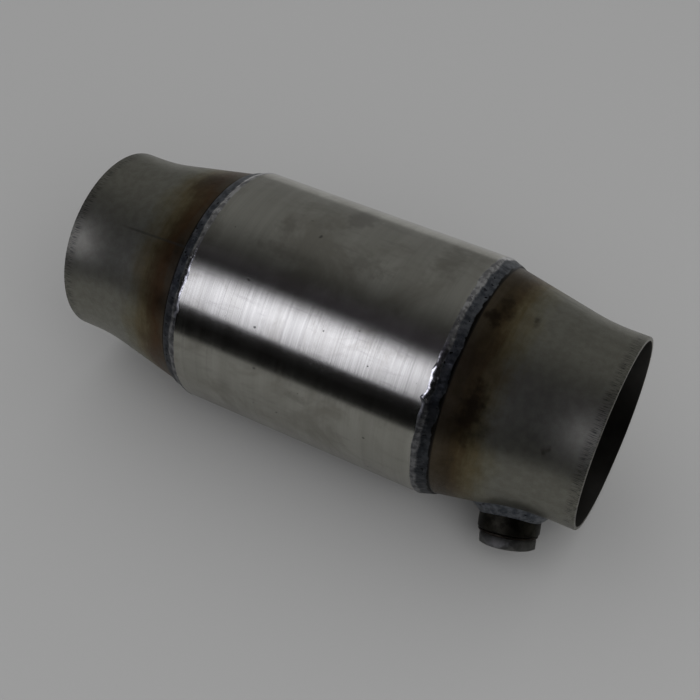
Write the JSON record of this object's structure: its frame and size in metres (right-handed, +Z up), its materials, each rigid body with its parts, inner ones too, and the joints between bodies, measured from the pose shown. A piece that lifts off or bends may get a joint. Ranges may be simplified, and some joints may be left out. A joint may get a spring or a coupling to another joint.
{
  "type": "catalytic converter",
  "caption": "Round metallic catalytic converter: linished can between two welded cones, wound foil core inside, sensor boss with hex plug on one cone.",
  "frame": {"origin": "on the can's axis, half way between the two mouths, so at the middle of the overall length", "axes": "+X along the axis to the inlet mouth, the end with the sensor boss; +Z up as the part lies; +Y away from the side the boss leans to"},
  "size_m": [0.234, 0.1016, 0.1016],
  "materials": {
    "linished_stainless": "linished round the can, satin bright",
    "mill_stainless": "satin mill finish with heat tint beside the welds",
    "weld_metal": "oxidised weld bead, blue-grey",
    "boss_steel": "heat-darkened turned steel",
    "washer_copper": "heat-darkened metal sealing ring",
    "plug_steel": "plain turned and milled steel",
    "substrate_steel": "bare steel tube",
    "coated_foil": "foil with a dull brown-grey washcoat"
  },
  "bodies": {
    "root": {"can": "linished_stainless", "inlet_cone": "mill_stainless", "outlet_cone": "mill_stainless", "inlet_weld": "weld_metal", "outlet_weld": "weld_metal", "sensor_boss": "boss_steel", "boss_weld": "weld_metal", "sealing_washer": "washer_copper", "blanking_plug": "plug_steel", "substrate_mantle": "substrate_steel", "flat_foil": "coated_foil", "corrugated_foil": "coated_foil"}
  },
  "joints": []
}
